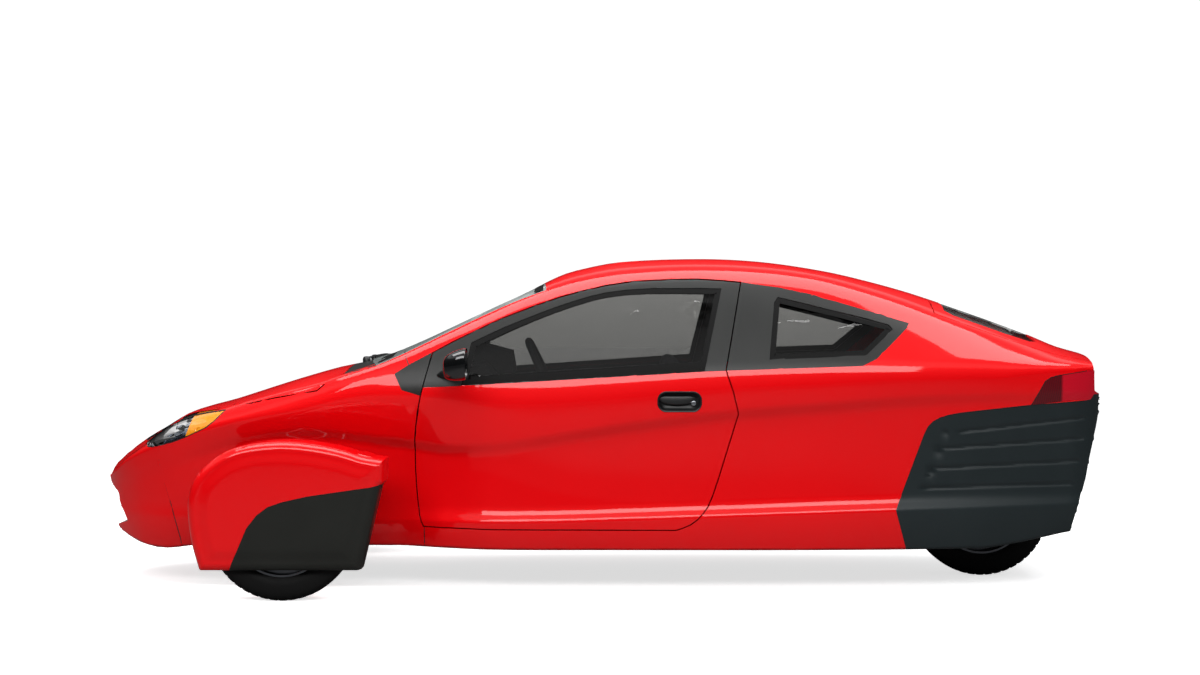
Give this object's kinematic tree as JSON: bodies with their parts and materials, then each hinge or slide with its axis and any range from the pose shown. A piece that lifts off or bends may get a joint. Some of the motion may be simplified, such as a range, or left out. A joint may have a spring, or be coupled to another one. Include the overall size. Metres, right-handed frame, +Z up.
{
  "type": "three wheeled car",
  "caption": "Low tandem car with two outrigged front wheels under steering fenders, one rear wheel, doors, bonnet, hatch, seats and steering.",
  "frame": {"origin": "on the ground under the middle of the car's outer box", "axes": "+X forward to the nose, +Y to the car's left, +Z up"},
  "size_m": [4.118, 1.7, 1.3397],
  "materials": {
    "paint": "gloss",
    "dark_plastic": "satin",
    "black_plastic": "satin",
    "window_glass": "gloss",
    "lamp_glass": "gloss",
    "tail_glass": "gloss",
    "dark_steel": "satin",
    "cast": "matte",
    "cloth": "woven",
    "steel": "satin",
    "rubber": "matte",
    "wheel_metal": "satin"
  },
  "bodies": {
    "body": {"body_sides": "paint", "front_wings": "paint", "roof_panel": "paint", "cowl_panel": "black_plastic", "windscreen": "window_glass", "front_bumper": "paint", "grille": "dark_plastic", "headlights": "lamp_glass", "window_trims": "black_plastic", "quarter_windows": "window_glass", "rear_bumper": "dark_plastic", "tail_lights": "tail_glass", "floor_pan": "dark_steel", "boot_floor": "dark_steel", "bulkhead": "dark_steel", "engine_block": "cast", "dashboard": "black_plastic", "seat_bases": "dark_steel", "driver_seat": "cloth", "passenger_seat": "cloth", "suspension_arms": "steel", "swing_arm": "dark_steel", "rack_housing": "dark_steel", "hinge_pins": "steel"},
    "bonnet": {"bonnet_panel": "paint", "bonnet_hinges": "dark_steel"},
    "hatch": {"hatch_lid": "paint", "hatch_window": "window_glass", "hatch_hinges": "dark_steel"},
    "door_left": {"door_panel_left": "paint", "door_frame_left": "black_plastic", "door_glass_left": "window_glass", "door_fittings_left": "black_plastic", "door_hinges_left": "dark_steel"},
    "door_right": {"door_panel_right": "paint", "door_frame_right": "black_plastic", "door_glass_right": "window_glass", "door_fittings_right": "black_plastic", "door_hinges_right": "dark_steel"},
    "knuckle_left": {"knuckle_left": "steel", "fender_left": "paint", "wheel_cover_left": "dark_plastic"},
    "knuckle_right": {"knuckle_right": "steel", "fender_right": "paint", "wheel_cover_right": "dark_plastic"},
    "wheel_left": {"tyre_left": "rubber", "rim_left": "wheel_metal"},
    "wheel_right": {"tyre_right": "rubber", "rim_right": "wheel_metal"},
    "wheel_rear": {"tyre_rear": "rubber", "rim_rear": "wheel_metal"},
    "steering_wheel": {"steering_wheel": "black_plastic"},
    "steering_rack": {"steering_rack": "steel"}
  },
  "joints": [
    {"name": "steer_left", "type": "hinge", "parent": "body", "child": "knuckle_left", "pos_m": [1.203, 0.64, 0.29], "axis": [0, 0, 1], "range_deg": [-28, 28]},
    {"name": "steer_right", "type": "hinge", "parent": "body", "child": "knuckle_right", "pos_m": [1.203, -0.64, 0.29], "axis": [0, 0, 1], "range_deg": [-28, 28]},
    {"name": "wheel_left_spin", "type": "hinge", "parent": "knuckle_left", "child": "wheel_left", "pos_m": [1.203, 0.735, 0.29], "axis": [0, 1, 0], "continuous": true},
    {"name": "wheel_right_spin", "type": "hinge", "parent": "knuckle_right", "child": "wheel_right", "pos_m": [1.203, -0.735, 0.29], "axis": [0, 1, 0], "continuous": true},
    {"name": "wheel_rear_spin", "type": "hinge", "parent": "body", "child": "wheel_rear", "pos_m": [-1.647, 0, 0.29], "axis": [0, 1, 0], "continuous": true},
    {"name": "door_left_open", "type": "hinge", "parent": "body", "child": "door_left", "pos_m": [0.726, 0.501, 0.7], "axis": [0, 0, -1], "range_deg": [0, 65]},
    {"name": "door_right_open", "type": "hinge", "parent": "body", "child": "door_right", "pos_m": [0.726, -0.501, 0.7], "axis": [0, 0, 1], "range_deg": [0, 65]},
    {"name": "bonnet_lift", "type": "hinge", "parent": "body", "child": "bonnet", "pos_m": [0.978, 0, 0.886], "axis": [0, -1, 0], "range_deg": [0, 50]},
    {"name": "hatch_lift", "type": "hinge", "parent": "body", "child": "hatch", "pos_m": [-1.38, 0, 1.166], "axis": [0, 1, 0], "range_deg": [0, 60]},
    {"name": "steering_wheel_turn", "type": "hinge", "parent": "body", "child": "steering_wheel", "pos_m": [0.205, 0, 0.842], "axis": [0.9063, 0, -0.4226], "range_deg": [-450, 450]},
    {"name": "rack_slide", "type": "slide", "parent": "body", "child": "steering_rack", "axis": [0, 1, 0], "range_m": [-0.056, 0.056]}
  ],
  "couplings": [
    {"joint": "steer_right", "follows": "steer_left", "ratio": 1},
    {"joint": "steering_wheel_turn", "follows": "steer_left", "ratio": -15},
    {"joint": "rack_slide", "follows": "steer_left", "m_per_rad": -0.10567}
  ]
}
